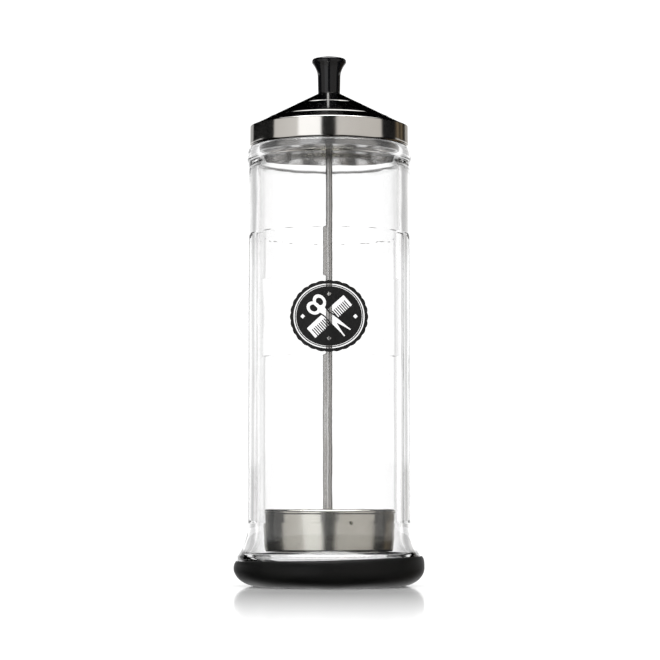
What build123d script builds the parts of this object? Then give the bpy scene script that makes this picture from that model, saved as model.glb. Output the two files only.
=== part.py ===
from build123d import *
import math
import os

# Countertop disinfectant jar for combs and scissors: a faceted glass jar in a rubber boot, a spun steel
# lid that rests on its rim, and a knob, rod and basket that hang in the lid and lift the tools out.
# Millimetres. +Z is up, the origin is the centre of the face that the boot stands on, and the label
# panel faces -Y.

# ---- jar body --------------------------------------------------------------------------------------
BODY_R = 44.4            # outside of the neck, and of the ridges between the facets
INNER_R = 39.2           # inside of the wall
MOUTH_R = 38.6           # inside of the thickened rim
FOOT_R = 49.9            # widest glass, hidden by the boot
FOOT_Z = 2.4             # underside of the glass foot
FOOT_FLAT_R = 39.5       # where the underside turns up into the foot's rounded corner
FOOT_SIDE_Z = 10.0       # where that corner ends
PUNT_R = 30.0            # hollow under the foot
PUNT_RISE = 3.4
FLARE_R = 28.5           # cove between foot and body
FLARE_TOP_Z = 33.0
FLOOR_Z = 10.5           # inside floor
FLOOR_CORNER_R = 4.5
BEAD_Z = 232.2           # lower edge of the rim bead
BEAD_MID_Z = 236.6
BEAD_R = 45.2
RIM_Z = 239.7            # top of the glass, where the lid rests
RIM_FLAT_OUTER_R = 43.6
RIM_FLAT_INNER_R = 41.0
MOUTH_STEP_Z = 231.0     # the thickened rim starts here inside
MOUTH_STEP_H = 3.0

FACETS = 18
FACET_FLAT_R = 44.15     # axis to the flat of a facet, with round lands between the facets
FACET_BOTTOM_Z = 34.6
FACET_TOP_Z = 191.4
FACET_RIDGE_DEG = 1.5    # the ridge next to the front stands this far round from -Y
LABEL_FACETS = 6         # facets that the smooth label panel takes the place of
LABEL_BOTTOM_Z = 123.4
LABEL_TOP_Z = 165.2

# ---- printed emblem --------------------------------------------------------------------------------
BADGE_W = 43.2           # along the curve
BADGE_H = 38.2
BADGE_Z = 143.6
BADGE_T = 0.2

TOUCH_GAP = 0.12         # between curved faces of pieces that only touch

# ---- rubber boot -----------------------------------------------------------------------------------
BOOT_R = 51.9
BOOT_FLAT_R = 38.9       # outer edge of the face that it stands on
BOOT_LIP_R = 33.0        # open in the middle
BOOT_SIDE_Z = 10.0
BOOT_TOP_Z = 16.4
BOOT_TOP_ROUND = 4.6

# ---- lid -------------------------------------------------------------------------------------------
SHEET = 0.8              # steel thickness of lid and basket
BAND_R = 44.3
BAND_TOP_Z = 250.9
HEM_R = 1.5              # rolled lower edge
LAND_R = 6.6             # flat top under the knob
LAND_Z = 270.1
GROOVE_RADII = (19.7, 35.7)
GROOVE_R = 2.0           # section of the two shallow rings pressed into the cone
GROOVE_DEPTH = 0.25
RING_R = 38.2            # locating ring
RING_BOTTOM_Z = 236.0
RING_FLANGE_R = 35.2
LID_HOLE_CLEARANCE = 0.08

# ---- rod, nuts and washers -------------------------------------------------------------------------
ROD_R = 1.8
THREAD_R = 1.98          # M4, rolled, so it stands out from the shank
THREAD_HOLE_R = 2.02
ROD_BOTTOM_Z = 13.9
ROD_TOP_Z = 282.0
ROD_UPPER_THREAD_Z = 262.0
ROD_LOWER_THREAD_Z = 25.0
THREAD_CHAMFER = 0.4
NUT_FLATS = 7.0
NUT_H = 3.2
LOCK_NUT_H = 5.0
THIN_NUT_H = 2.2
NUT_CORNER_CHAMFER = 0.35
WASHER_R = 4.5
WASHER_HOLE_R = 2.15
WASHER_T = 0.8
THIN_WASHER_T = 0.5
LID_WASHER_R = 5.2
LID_WASHER_T = 1.0
LID_WASHER_GAP = 0.1     # lets the lid turn on the rod
SPRING_WASHER_R = 3.6
SPRING_WASHER_T = 0.9
SPRING_WASHER_SLOT = 0.8
SPRING_WASHER_SLANT = 30.0

# ---- basket ----------------------------------------------------------------------------------------
BASKET_BOTTOM_Z = 17.2
BASKET_TOP_Z = 41.6
BASKET_TOP_R = 36.2
BASKET_BOTTOM_R = 35.0
BASKET_CORNER_R = 2.0
BASKET_RIM_R = 1.4       # section of the rolled rim, a round bead
BASKET_RIM_OUT = 0.8     # how far it stands out from the wall
DRAIN_R = 2.5
DRAIN_RINGS = ((12.0, 6), (24.0, 12))   # pitch radius and number of holes
WALL_HOLE_R = 1.1        # vent hole under the rim
WALL_HOLE_DROP = 7.2
WALL_HOLE_DEG = 18.5     # round from the front, towards +X
DRILL_LENGTH = 4.0       # longer than any sheet that is drilled

# ---- knob ------------------------------------------------------------------------------------------
KNOB_BASE_R = 6.1
KNOB_STEM_R = 6.3
KNOB_STEM_TOP_Z = 279.0
KNOB_FLARE_MID = (7.05, 283.6)
KNOB_HEAD_R = 9.5
KNOB_HEAD_Z = 288.4
KNOB_EDGE_R = 1.2
KNOB_EDGE_LOW_IN = 0.35  # how far the ends of the rounded edge lie inside the head's radius
KNOB_EDGE_HIGH_IN = 0.6
KNOB_TOP_Z = 290.9
INSERT_R = 3.5
INSERT_BOTTOM_Z = 270.9
INSERT_TOP_Z = 283.5
INSERT_GROOVE_Z = 277.2
INSERT_GROOVE_W = 1.6
INSERT_GROOVE_DEPTH = 0.5

CONE_SLOPE = (LAND_Z - BAND_TOP_Z) / (BAND_R - LAND_R)
HEM_Z = RIM_Z + HEM_R    # centre of the rolled edge
LAND_UNDER_Z = LAND_Z - SHEET


def cone_z(radius, drop=0.0):
    """Height of the lid's cone at a radius, or of a surface that lies a vertical drop below it."""
    return LAND_Z - (radius - LAND_R) * CONE_SLOPE - drop


def front_angle(degrees):
    """Angle about Z of a direction that is turned from the front (-Y) towards +X."""
    return degrees - 90.0


def tube(outer_r, inner_r, bottom_z, top_z):
    """Plain ring about Z."""
    height = top_z - bottom_z
    ring = Circle(outer_r) - Circle(inner_r)
    return extrude(Plane.XY.offset(bottom_z) * ring, height)


def make_facet_cutter():
    """Everything outside the 18-sided body between the facet ends, less the label panel."""
    keep_r = FACET_FLAT_R / math.cos(math.pi / FACETS)
    start = front_angle(FACET_RIDGE_DEG)
    step = 360.0 / FACETS
    angles = [math.radians(start + i * step) for i in range(FACETS)]
    corners = [(keep_r * math.cos(angle), keep_r * math.sin(angle)) for angle in angles]
    sides = make_face(Polyline(*corners, close=True))
    ring = Circle(FOOT_R) - sides
    height = FACET_TOP_Z - FACET_BOTTOM_Z
    cutter = extrude(Plane.XY.offset(FACET_BOTTOM_Z) * ring, height)

    half = LABEL_FACETS * step / 2
    reach = 2 * FOOT_R
    wedge = [(0, 0)]
    for side in (-half, half):
        angle = math.radians(start + side)
        wedge.append((reach * math.cos(angle), reach * math.sin(angle)))
    panel = extrude(Plane.XY.offset(LABEL_BOTTOM_Z) * make_face(Polyline(*wedge, close=True)),
                    LABEL_TOP_Z - LABEL_BOTTOM_Z)
    return cutter - panel


def make_glass_jar():
    """Thick clear jar: hollow foot, even-walled cove, faceted body, smooth neck and rounded rim."""
    cove_x = BODY_R + FLARE_R
    cove_bottom_z = FLARE_TOP_Z - math.sqrt(FLARE_R ** 2 - (cove_x - FOOT_R) ** 2)
    inner_flare_r = FLARE_R + BODY_R - INNER_R
    corner_z = FLOOR_Z + FLOOR_CORNER_R
    reach = inner_flare_r + FLOOR_CORNER_R
    corner_x = cove_x - math.sqrt(reach ** 2 - (FLARE_TOP_Z - corner_z) ** 2)
    share = inner_flare_r / reach
    turn_x = cove_x + (corner_x - cove_x) * share
    turn_z = FLARE_TOP_Z + (corner_z - FLARE_TOP_Z) * share
    lip_r = RIM_FLAT_INNER_R - MOUTH_R
    punt_arc_r = (PUNT_R ** 2 + PUNT_RISE ** 2) / (2 * PUNT_RISE)
    with BuildPart() as jar:
        with BuildSketch(Plane.XZ):
            with BuildLine():
                Line((0, FLOOR_Z), (0, FOOT_Z + PUNT_RISE))
                RadiusArc((0, FOOT_Z + PUNT_RISE), (PUNT_R, FOOT_Z), -punt_arc_r)
                Line((PUNT_R, FOOT_Z), (FOOT_FLAT_R, FOOT_Z))
                EllipticalCenterArc((FOOT_FLAT_R, FOOT_SIDE_Z), FOOT_R - FOOT_FLAT_R, FOOT_SIDE_Z - FOOT_Z,
                                    start_angle=-90, arc_size=90)
                Line((FOOT_R, FOOT_SIDE_Z), (FOOT_R, cove_bottom_z))
                RadiusArc((FOOT_R, cove_bottom_z), (BODY_R, FLARE_TOP_Z), FLARE_R)
                Line((BODY_R, FLARE_TOP_Z), (BODY_R, BEAD_Z))
                ThreePointArc((BODY_R, BEAD_Z), (BEAD_R, BEAD_MID_Z), (RIM_FLAT_OUTER_R, RIM_Z))
                Line((RIM_FLAT_OUTER_R, RIM_Z), (RIM_FLAT_INNER_R, RIM_Z))
                RadiusArc((RIM_FLAT_INNER_R, RIM_Z), (MOUTH_R, RIM_Z - lip_r), -lip_r)
                Line((MOUTH_R, RIM_Z - lip_r), (MOUTH_R, MOUTH_STEP_Z))
                Line((MOUTH_R, MOUTH_STEP_Z), (INNER_R, MOUTH_STEP_Z - MOUTH_STEP_H))
                Line((INNER_R, MOUTH_STEP_Z - MOUTH_STEP_H), (INNER_R, FLARE_TOP_Z))
                RadiusArc((INNER_R, FLARE_TOP_Z), (turn_x, turn_z), -inner_flare_r)
                RadiusArc((turn_x, turn_z), (corner_x, FLOOR_Z), FLOOR_CORNER_R)
                Line((corner_x, FLOOR_Z), (0, FLOOR_Z))
            make_face()
        revolve(axis=Axis.Z)
    return jar.part - make_facet_cutter()


def make_base_boot():
    """Rubber boot with a rounded outside and an open middle, stretched over the glass foot."""
    inside_r = FOOT_R + TOUCH_GAP
    top_turn_z = BOOT_TOP_Z - BOOT_TOP_ROUND
    rounding = BOOT_R - inside_r
    with BuildPart() as boot:
        with BuildSketch(Plane.XZ):
            with BuildLine():
                Line((BOOT_LIP_R, FOOT_Z), (BOOT_LIP_R, 0))
                Line((BOOT_LIP_R, 0), (BOOT_FLAT_R, 0))
                EllipticalCenterArc((BOOT_FLAT_R, BOOT_SIDE_Z), BOOT_R - BOOT_FLAT_R, BOOT_SIDE_Z,
                                    start_angle=-90, arc_size=90)
                Line((BOOT_R, BOOT_SIDE_Z), (BOOT_R, top_turn_z))
                EllipticalCenterArc((inside_r, top_turn_z), rounding, BOOT_TOP_ROUND,
                                    start_angle=0, arc_size=90)
                Line((inside_r, BOOT_TOP_Z), (inside_r, FOOT_SIDE_Z))
                EllipticalCenterArc((FOOT_FLAT_R, FOOT_SIDE_Z), inside_r - FOOT_FLAT_R, FOOT_SIDE_Z - FOOT_Z,
                                    start_angle=-90, arc_size=90)
                Line((FOOT_FLAT_R, FOOT_Z), (BOOT_LIP_R, FOOT_Z))
            make_face()
        revolve(axis=Axis.Z)
    return boot.part


def make_badge_print():
    """Thin print that follows the curve of the label panel."""
    skin = tube(BODY_R + BADGE_T, BODY_R, BADGE_Z - BADGE_H / 2, BADGE_Z + BADGE_H / 2)
    chord = 2 * BODY_R * math.sin(BADGE_W / BODY_R / 2)
    outline = Ellipse(chord / 2, BADGE_H / 2)
    stamp = extrude(Plane.XZ * Pos(0, BADGE_Z) * outline, 2 * BODY_R)
    return skin & stamp


def make_lid_shell():
    """Spun cone with a flat land, a straight band and a rolled hem that rests on the glass."""
    inner_r = BAND_R - SHEET
    drop = SHEET * math.hypot(1, CONE_SLOPE)
    hem_x = BAND_R - HEM_R
    hem_inside = HEM_R - SHEET
    hole_r = THREAD_R + LID_HOLE_CLEARANCE
    with BuildPart() as shell:
        with BuildSketch(Plane.XZ):
            with BuildLine():
                Line((hole_r, LAND_UNDER_Z), (hole_r, LAND_Z))
                Line((hole_r, LAND_Z), (LAND_R, LAND_Z))
                Line((LAND_R, LAND_Z), (BAND_R, BAND_TOP_Z))
                Line((BAND_R, BAND_TOP_Z), (BAND_R, HEM_Z))
                ThreePointArc((BAND_R, HEM_Z), (hem_x, HEM_Z - HEM_R), (hem_x - HEM_R, HEM_Z))
                Line((hem_x - HEM_R, HEM_Z), (hem_x - hem_inside, HEM_Z))
                ThreePointArc((hem_x - hem_inside, HEM_Z), (hem_x, HEM_Z - hem_inside), (inner_r, HEM_Z))
                Line((inner_r, HEM_Z), (inner_r, cone_z(inner_r, drop)))
                Line((inner_r, cone_z(inner_r, drop)), (LAND_R, LAND_UNDER_Z))
                Line((LAND_R, LAND_UNDER_Z), (hole_r, LAND_UNDER_Z))
            make_face()
        revolve(axis=Axis.Z)
    lid = shell.part
    above = (GROOVE_R - GROOVE_DEPTH) * math.hypot(1, CONE_SLOPE)
    for radius in GROOVE_RADII:
        lid -= Pos(0, 0, cone_z(radius) + above) * Torus(radius, GROOVE_R)
    return lid


def make_lid_inner_ring():
    """Locating ring that drops into the mouth, with a flange spot-welded under the cone."""
    under = SHEET * math.hypot(1, CONE_SLOPE) + TOUCH_GAP
    inside_r = RING_R - SHEET
    with BuildPart() as ring:
        with BuildSketch(Plane.XZ):
            with BuildLine():
                Polyline(
                    (RING_R, RING_BOTTOM_Z),
                    (RING_R, cone_z(RING_R, under)),
                    (RING_FLANGE_R, cone_z(RING_FLANGE_R, under)),
                    (RING_FLANGE_R, cone_z(RING_FLANGE_R, under + SHEET)),
                    (inside_r, cone_z(inside_r, under + SHEET)),
                    (inside_r, RING_BOTTOM_Z),
                    close=True,
                )
            make_face()
        revolve(axis=Axis.Z)
    return ring.part


def make_knob():
    """Moulded knob: slim stem, flared head, rounded edge and a low dome."""
    edge_low = (KNOB_HEAD_R - KNOB_EDGE_LOW_IN, KNOB_HEAD_Z - KNOB_EDGE_R)
    edge_high = (KNOB_HEAD_R - KNOB_EDGE_HIGH_IN, KNOB_HEAD_Z + KNOB_EDGE_R)
    dome_rise = KNOB_TOP_Z - edge_high[1]
    dome_r = (edge_high[0] ** 2 + dome_rise ** 2) / (2 * dome_rise)
    with BuildPart() as knob:
        with BuildSketch(Plane.XZ):
            with BuildLine():
                Line((0, LAND_Z), (KNOB_BASE_R, LAND_Z))
                Line((KNOB_BASE_R, LAND_Z), (KNOB_STEM_R, KNOB_STEM_TOP_Z))
                ThreePointArc((KNOB_STEM_R, KNOB_STEM_TOP_Z), KNOB_FLARE_MID, edge_low)
                ThreePointArc(edge_low, (KNOB_HEAD_R, KNOB_HEAD_Z), edge_high)
                RadiusArc(edge_high, (0, KNOB_TOP_Z), -dome_r)
                Line((0, KNOB_TOP_Z), (0, LAND_Z))
            make_face()
        revolve(axis=Axis.Z)
    bore = extrude(Plane.XY.offset(LAND_Z) * Circle(THREAD_HOLE_R + TOUCH_GAP), INSERT_BOTTOM_Z - LAND_Z)
    seat = extrude(Plane.XY.offset(INSERT_BOTTOM_Z) * Circle(INSERT_R), INSERT_TOP_Z - INSERT_BOTTOM_Z)
    return knob.part - bore - (seat - make_insert_groove())


def make_insert_groove():
    """Ring that the knob's plastic fills, which keeps the insert from pulling out."""
    low = INSERT_GROOVE_Z - INSERT_GROOVE_W / 2
    return tube(INSERT_R, INSERT_R - INSERT_GROOVE_DEPTH, low, low + INSERT_GROOVE_W)


def make_knob_insert():
    """Brass insert with a blind M4 hole, open at the bottom."""
    body = extrude(Plane.XY.offset(INSERT_BOTTOM_Z) * Circle(INSERT_R), INSERT_TOP_Z - INSERT_BOTTOM_Z)
    hole = extrude(Plane.XY.offset(INSERT_BOTTOM_Z) * Circle(THREAD_HOLE_R), ROD_TOP_Z - INSERT_BOTTOM_Z)
    return body - make_insert_groove() - hole


def make_lift_rod():
    """Straight rod, thicker where the M4 threads are rolled, with a chamfer at each end."""
    tip_r = THREAD_R - THREAD_CHAMFER
    with BuildPart() as rod:
        with BuildSketch(Plane.XZ):
            with BuildLine():
                Polyline(
                    (0, ROD_BOTTOM_Z),
                    (tip_r, ROD_BOTTOM_Z),
                    (THREAD_R, ROD_BOTTOM_Z + THREAD_CHAMFER),
                    (THREAD_R, ROD_LOWER_THREAD_Z),
                    (ROD_R, ROD_LOWER_THREAD_Z + THREAD_CHAMFER),
                    (ROD_R, ROD_UPPER_THREAD_Z - THREAD_CHAMFER),
                    (THREAD_R, ROD_UPPER_THREAD_Z),
                    (THREAD_R, ROD_TOP_Z - THREAD_CHAMFER),
                    (tip_r, ROD_TOP_Z),
                    (0, ROD_TOP_Z),
                    close=True,
                )
            make_face()
        revolve(axis=Axis.Z)
    return rod.part


def hex_nut(bottom_z, height, hole_r=THREAD_HOLE_R):
    """Hexagon nut with its corners chamfered on both faces."""
    corner_r = NUT_FLATS / 2 / math.cos(math.pi / 6)
    nut = extrude(Plane.XY.offset(bottom_z) * RegularPolygon(corner_r, 6), height)
    blank = extrude(Plane.XY.offset(bottom_z) * Circle(corner_r), height)
    blank = chamfer(blank.edges().filter_by(GeomType.CIRCLE), NUT_CORNER_CHAMFER)
    hole = extrude(Plane.XY.offset(bottom_z) * Circle(hole_r), height)
    return (nut & blank) - hole


def make_spring_washer(bottom_z):
    """Split ring with a slanting slot."""
    ring = tube(SPRING_WASHER_R, WASHER_HOLE_R, bottom_z, bottom_z + SPRING_WASHER_T)
    saw = Box(SPRING_WASHER_R, SPRING_WASHER_SLOT, DRILL_LENGTH)
    return ring - Pos(SPRING_WASHER_R, 0, bottom_z) * Rot(SPRING_WASHER_SLANT, 0, 0) * saw


def make_basket():
    """Drawn cup with a slight taper, a rolled rim, drain holes in its floor and one vent hole."""
    inner_top_r = BASKET_TOP_R - SHEET
    inner_bottom_r = BASKET_BOTTOM_R - SHEET
    floor_z = BASKET_BOTTOM_Z + SHEET
    rim_z = BASKET_TOP_Z - BASKET_RIM_R
    with BuildPart() as cup:
        with BuildSketch(Plane.XZ) as section:
            with BuildLine():
                Polyline(
                    (WASHER_HOLE_R, BASKET_BOTTOM_Z),
                    (BASKET_BOTTOM_R, BASKET_BOTTOM_Z),
                    (BASKET_TOP_R, rim_z),
                    (inner_top_r, rim_z),
                    (inner_bottom_r, floor_z),
                    (WASHER_HOLE_R, floor_z),
                    close=True,
                )
            make_face()
            outer = section.vertices().sort_by_distance((BASKET_BOTTOM_R, BASKET_BOTTOM_Z))[0]
            inner = section.vertices().sort_by_distance((inner_bottom_r, floor_z))[0]
            fillet(outer, BASKET_CORNER_R)
            fillet(inner, BASKET_CORNER_R - SHEET)
            with Locations((BASKET_TOP_R + BASKET_RIM_OUT - BASKET_RIM_R, rim_z)):
                Circle(BASKET_RIM_R)
        revolve(axis=Axis.Z)
    basket = cup.part
    for pitch_r, count in DRAIN_RINGS:
        for i in range(count):
            place = Rot(0, 0, i * 360.0 / count) * Pos(pitch_r, 0, floor_z)
            basket -= place * Cylinder(DRAIN_R, DRILL_LENGTH)
    drill = Rot(0, 90, 0) * Cylinder(WALL_HOLE_R, DRILL_LENGTH)
    vent = Pos(BASKET_TOP_R, 0, BASKET_TOP_Z - WALL_HOLE_DROP) * drill
    return basket - Rot(0, 0, front_angle(WALL_HOLE_DEG)) * vent


def main():
    basket_floor_z = BASKET_BOTTOM_Z + SHEET
    spring_z = basket_floor_z + WASHER_T
    upper_nut_z = spring_z + SPRING_WASHER_T
    lower_washer_z = BASKET_BOTTOM_Z - THIN_WASHER_T
    lid_washer_top = LAND_UNDER_Z - LID_WASHER_GAP
    lid_washer_z = lid_washer_top - LID_WASHER_T
    nodes = {
        "glass_jar": make_glass_jar(),
        "base_boot": make_base_boot(),
        "badge_print": make_badge_print(),
        "lid_shell": make_lid_shell(),
        "lid_inner_ring": make_lid_inner_ring(),
        "knob": make_knob(),
        "knob_insert": make_knob_insert(),
        "lift_rod": make_lift_rod(),
        "lid_washer": tube(LID_WASHER_R, WASHER_HOLE_R, lid_washer_z, lid_washer_top),
        "lid_lock_nut": hex_nut(lid_washer_z - LOCK_NUT_H, LOCK_NUT_H),
        "basket": make_basket(),
        "basket_upper_nut": hex_nut(upper_nut_z, NUT_H),
        "basket_spring_washer": make_spring_washer(spring_z),
        "basket_upper_washer": tube(WASHER_R, WASHER_HOLE_R, basket_floor_z, spring_z),
        "basket_lower_washer": tube(WASHER_R, WASHER_HOLE_R, lower_washer_z, BASKET_BOTTOM_Z),
        "basket_lower_nut": hex_nut(lower_washer_z - THIN_NUT_H, THIN_NUT_H),
    }
    os.makedirs("parts", exist_ok=True)
    for name, shape in nodes.items():
        export_step(shape, f"parts/{name}.step")


main()
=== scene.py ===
import math

import bmesh
import bpy
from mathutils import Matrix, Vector, noise


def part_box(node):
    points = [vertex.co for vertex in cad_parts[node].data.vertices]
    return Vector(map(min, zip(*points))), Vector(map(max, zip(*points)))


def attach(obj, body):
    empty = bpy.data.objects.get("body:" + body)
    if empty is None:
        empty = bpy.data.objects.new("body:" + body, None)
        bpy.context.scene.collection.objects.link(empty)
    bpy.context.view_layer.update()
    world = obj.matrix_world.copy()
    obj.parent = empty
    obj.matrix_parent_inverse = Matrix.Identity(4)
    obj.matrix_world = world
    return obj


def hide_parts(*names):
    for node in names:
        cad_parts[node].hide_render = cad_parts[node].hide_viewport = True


# A countertop disinfectant jar: faceted glass, rubber boot, spun steel lid, knob, rod and basket.
# Outlines are written as (radius, height) in millimetres and turned into metres by the mesh helpers.

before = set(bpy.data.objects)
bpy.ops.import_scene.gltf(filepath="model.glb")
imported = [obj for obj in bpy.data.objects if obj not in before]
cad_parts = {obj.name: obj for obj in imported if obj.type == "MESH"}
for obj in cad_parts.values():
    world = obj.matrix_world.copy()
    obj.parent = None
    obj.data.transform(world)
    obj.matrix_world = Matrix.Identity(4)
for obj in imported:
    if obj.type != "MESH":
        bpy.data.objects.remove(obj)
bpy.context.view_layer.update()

MM = 0.001
TURN = 2 * math.pi
ON_AXIS = 1e-6


def low(node):
    """Lowest point of a CAD node, in millimetres."""
    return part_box(node)[0].z / MM


def high(node):
    """Highest point of a CAD node, in millimetres."""
    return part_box(node)[1].z / MM


def reach(node):
    """Outer radius of a round CAD node, in millimetres."""
    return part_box(node)[1].x / MM


# ---- Outlines ----
ROUNDING_SHARE = 0.49  # most of a side that one rounded corner may use


def arc(centre, radii, start, end, count):
    """Points on an arc; radii is one number or (across, up), and the angles are in degrees."""
    across, up = radii if isinstance(radii, tuple) else (radii, radii)
    points = []
    for i in range(count + 1):
        a = math.radians(start + (end - start) * i / count)
        points.append((centre[0] + across * math.cos(a), centre[1] + up * math.sin(a)))
    return points


def straight(start, end, count):
    """Points on a line, both ends included."""
    return [
        (start[0] + (end[0] - start[0]) * i / count, start[1] + (end[1] - start[1]) * i / count)
        for i in range(count + 1)
    ]


def arc_through(a, b, c, count):
    """Points on the arc from a to c that passes through b."""
    d = 2 * (a[0] * (b[1] - c[1]) + b[0] * (c[1] - a[1]) + c[0] * (a[1] - b[1]))
    squares = [p[0] ** 2 + p[1] ** 2 for p in (a, b, c)]
    x = (squares[0] * (b[1] - c[1]) + squares[1] * (c[1] - a[1]) + squares[2] * (a[1] - b[1])) / d
    z = (squares[0] * (c[0] - b[0]) + squares[1] * (a[0] - c[0]) + squares[2] * (b[0] - a[0])) / d
    start, middle, end = (math.degrees(math.atan2(p[1] - z, p[0] - x)) for p in (a, b, c))
    if not (start <= middle <= end or start >= middle >= end):
        end += 360 if end < start else -360
    return arc((x, z), math.hypot(a[0] - x, a[1] - z), start, end, count)


def rounded(corners, closed=True, count=5):
    """Outline through corners given as (radius, height, rounding), each turned into a small arc."""
    points = []
    total = len(corners)
    for i, (x, z, size) in enumerate(corners):
        here = Vector((x, z))
        if size <= 0 or (not closed and i in (0, total - 1)):
            points.append((x, z))
            continue
        before = Vector(corners[i - 1][:2]) - here
        after = Vector(corners[(i + 1) % total][:2]) - here
        half = before.angle(after) / 2
        cut = min(size / math.tan(half), ROUNDING_SHARE * before.length, ROUNDING_SHARE * after.length)
        first = here + before.normalized() * cut
        last = here + after.normalized() * cut
        for step in range(count + 1):
            t = step / count
            point = first * (1 - t) ** 2 + here * 2 * t * (1 - t) + last * t ** 2
            points.append((point.x, point.y))
    return points


def soft_step(value, start, end):
    """0 before start, 1 after end, smooth between."""
    t = min(1.0, max(0.0, (value - start) / (end - start)))
    return t * t * (3 - 2 * t)


# ---- Meshes ----
def finish_mesh(name, mesh_data, body, node, material, sharp=35):
    """Makes the object, recalculates its normals, smooths it, ties it to its body and hides the CAD node it
    replaces.
    """
    mesh_data.validate()
    work = bmesh.new()
    work.from_mesh(mesh_data)
    bmesh.ops.recalc_face_normals(work, faces=work.faces)
    work.to_mesh(mesh_data)
    work.free()
    mesh_data.shade_smooth()
    mesh_data.set_sharp_from_angle(angle=math.radians(sharp))
    piece = bpy.data.objects.new(name, mesh_data)
    bpy.context.scene.collection.objects.link(piece)
    mesh_data.materials.append(material)
    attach(piece, body)
    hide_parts(node)
    return piece


def turned(name, outline, segments, closed=True, shift=None):
    """Mesh of an outline turned about Z. An open outline starts and ends on the axis.
    shift(index, angle, radius, height) gives a changed radius and height in millimetres."""
    vertices = []
    rings = []
    for index, (radius, height) in enumerate(outline):
        if radius < ON_AXIS:
            rings.append([len(vertices)])
            vertices.append((0, 0, height * MM))
            continue
        ring = []
        for i in range(segments):
            angle = TURN * i / segments
            r, z = (radius, height) if shift is None else shift(index, angle, radius, height)
            ring.append(len(vertices))
            vertices.append((r * MM * math.cos(angle), r * MM * math.sin(angle), z * MM))
        rings.append(ring)
    faces = []
    pairs = list(zip(rings, rings[1:]))
    if closed:
        pairs.append((rings[-1], rings[0]))
    for a, b in pairs:
        for i in range(segments):
            j = (i + 1) % segments
            if len(a) == 1:
                faces.append((a[0], b[j], b[i]))
            elif len(b) == 1:
                faces.append((a[i], a[j], b[0]))
            else:
                faces.append((a[i], a[j], b[j], b[i]))
    made = bpy.data.meshes.new(name)
    made.from_pydata(vertices, [], faces)
    return made


def cut_with(mesh_data, cutter):
    """The mesh with the solids of the cutter mesh taken away."""
    base = bpy.data.objects.new("cut_base", mesh_data)
    tool = bpy.data.objects.new("cutter", cutter)
    for thing in (base, tool):
        bpy.context.scene.collection.objects.link(thing)
    change = base.modifiers.new("cut", "BOOLEAN")
    change.operation = "DIFFERENCE"
    change.solver = "EXACT"
    change.object = tool
    bpy.context.view_layer.update()
    seen = base.evaluated_get(bpy.context.evaluated_depsgraph_get())
    result = bpy.data.meshes.new_from_object(seen)
    for thing in (base, tool):
        bpy.data.objects.remove(thing)
    return result


# ---- Materials ----
MIDDLE = (0.3, 0.7)  # where most of a noise value lies
SHADED_FROM = (0.0376, 0.038)  # distances from the axis, in metres, over which painted shade darkens the ring's outer side


class Tree:
    """A node tree with short calls for adding and linking nodes. Ranges are (low, high) pairs."""

    def __init__(self, tree):
        self.tree = tree

    def add(self, kind, **settings):
        node = self.tree.nodes.new(kind)
        for key, value in settings.items():
            setattr(node, key, value)
        return node

    def link(self, source, target):
        self.tree.links.new(source, target)

    def math(self, operation, a, b=None):
        node = self.add("ShaderNodeMath", operation=operation)
        for index, value in enumerate((a, b)):
            if isinstance(value, (int, float)):
                node.inputs[index].default_value = value
            elif value is not None:
                self.link(value, node.inputs[index])
        return node.outputs[0]

    def spread(self, value, source, target, interpolation="LINEAR"):
        node = self.add("ShaderNodeMapRange", interpolation_type=interpolation)
        for socket, number in zip(("From Min", "From Max", "To Min", "To Max"), (*source, *target)):
            node.inputs[socket].default_value = number
        self.link(value, node.inputs["Value"])
        return node.outputs["Result"]

    def tint(self, value, dark, light):
        """Colour between dark and light, which are colours or sockets."""
        node = self.add("ShaderNodeMix", data_type="RGBA")
        for key, colour in (("A", dark), ("B", light)):
            if isinstance(colour, tuple):
                node.inputs[key].default_value = (*colour, 1)
            else:
                self.link(colour, node.inputs[key])
        self.link(value, node.inputs["Factor"])
        return node.outputs["Result"]


class Finish(Tree):
    """A material around its own Principled shader."""

    def __init__(self, name):
        self.material = bpy.data.materials.new(name)
        self.material.use_nodes = True
        super().__init__(self.material.node_tree)
        self.shader = self.tree.nodes["Principled BSDF"]

    def set(self, **values):
        for key, value in values.items():
            self.shader.inputs[key.replace("_", " ")].default_value = value

    def drive(self, **sources):
        for key, source in sources.items():
            self.link(source, self.shader.inputs[key.replace("_", " ")])

    def place(self):
        return self.add("ShaderNodeTexCoord").outputs["Object"]

    def from_axis(self):
        """Distance from the axis, and the three coordinates."""
        split = self.add("ShaderNodeSeparateXYZ")
        self.link(self.place(), split.inputs[0])
        squares = [self.math("MULTIPLY", side, side) for side in split.outputs[:2]]
        return self.math("SQRT", self.math("ADD", *squares)), split.outputs

    def turned_place(self, around, along):
        """Coordinates for marks that run round the axis: stretched by around, fine by along."""
        radius, (x, y, z) = self.from_axis()
        joined = self.add("ShaderNodeCombineXYZ")
        self.link(self.math("MULTIPLY", self.math("ARCTAN2", y, x), around), joined.inputs[0])
        self.link(self.math("MULTIPLY", radius, along), joined.inputs[1])
        self.link(self.math("MULTIPLY", z, along), joined.inputs[2])
        return joined.outputs[0]

    def noise(self, vector, scale=1.0, detail=3.0, roughness=0.5):
        node = self.add("ShaderNodeTexNoise")
        node.inputs["Scale"].default_value = scale
        node.inputs["Detail"].default_value = detail
        node.inputs["Roughness"].default_value = roughness
        self.link(vector, node.inputs["Vector"])
        return node.outputs["Fac"]

    def bump(self, value, strength, distance):
        node = self.add("ShaderNodeBump")
        node.inputs["Strength"].default_value = strength
        node.inputs["Distance"].default_value = distance
        self.link(value, node.inputs["Height"])
        return node.outputs["Normal"]


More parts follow.
